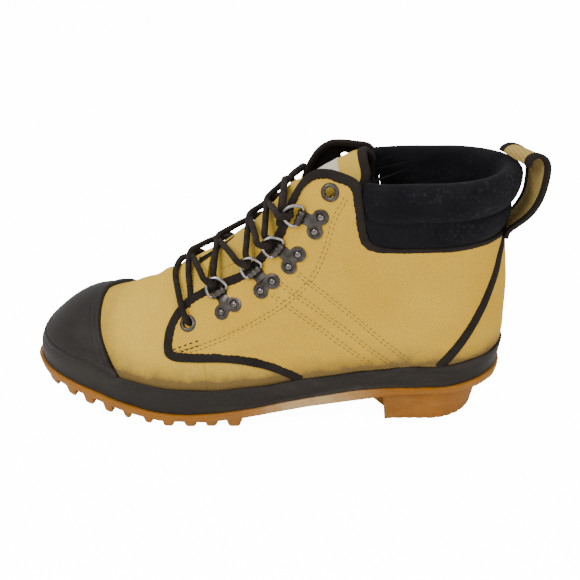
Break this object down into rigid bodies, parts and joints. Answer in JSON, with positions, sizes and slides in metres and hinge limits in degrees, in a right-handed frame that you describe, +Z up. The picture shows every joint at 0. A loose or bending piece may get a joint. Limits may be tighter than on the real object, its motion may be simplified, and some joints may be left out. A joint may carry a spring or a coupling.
{
  "type": "wading boot",
  "caption": "Ankle-high lace-up canvas wading boot with rubber toe cap and foxing, block heel, cleated sole, padded collar and pull loop, for the left foot.",
  "frame": {"origin": "middle of the whole boot's box in X and Y, on the floor under the sole", "axes": "+X towards the toe, +Y towards the outer side of the foot, +Z up"},
  "size_m": [0.3406, 0.106, 0.1705],
  "materials": {
    "canvas": "coarse tan cotton twill",
    "black_rubber": "satin",
    "gum_rubber": "amber, satin",
    "collar_cloth": "blue-black napped cloth",
    "lining": "dark lining cloth",
    "webbing": "tan woven tape",
    "dark_steel": "dull",
    "ring_steel": "smooth wire",
    "lace": "black braid"
  },
  "bodies": {
    "root": {"upper": "canvas", "foxing": "black_rubber", "toe_cap": "black_rubber", "outsole": "gum_rubber", "insole": "lining", "collar": "collar_cloth", "tongue": "canvas", "pull_loop": "webbing", "clip_outer_1": "dark_steel", "clip_outer_2": "dark_steel", "clip_outer_3": "dark_steel", "clip_outer_4": "dark_steel", "clip_inner_1": "dark_steel", "clip_inner_2": "dark_steel", "clip_inner_3": "dark_steel", "clip_inner_4": "dark_steel", "ring_outer_1": "ring_steel", "ring_outer_2": "ring_steel", "ring_outer_3": "ring_steel", "ring_outer_4": "ring_steel", "ring_inner_1": "ring_steel", "ring_inner_2": "ring_steel", "ring_inner_3": "ring_steel", "ring_inner_4": "ring_steel", "eyelet_outer_low": "dark_steel", "eyelet_outer_top": "dark_steel", "eyelet_inner_low": "dark_steel", "eyelet_inner_top": "dark_steel", "lace_bar": "lace", "lace": "lace"}
  },
  "joints": []
}
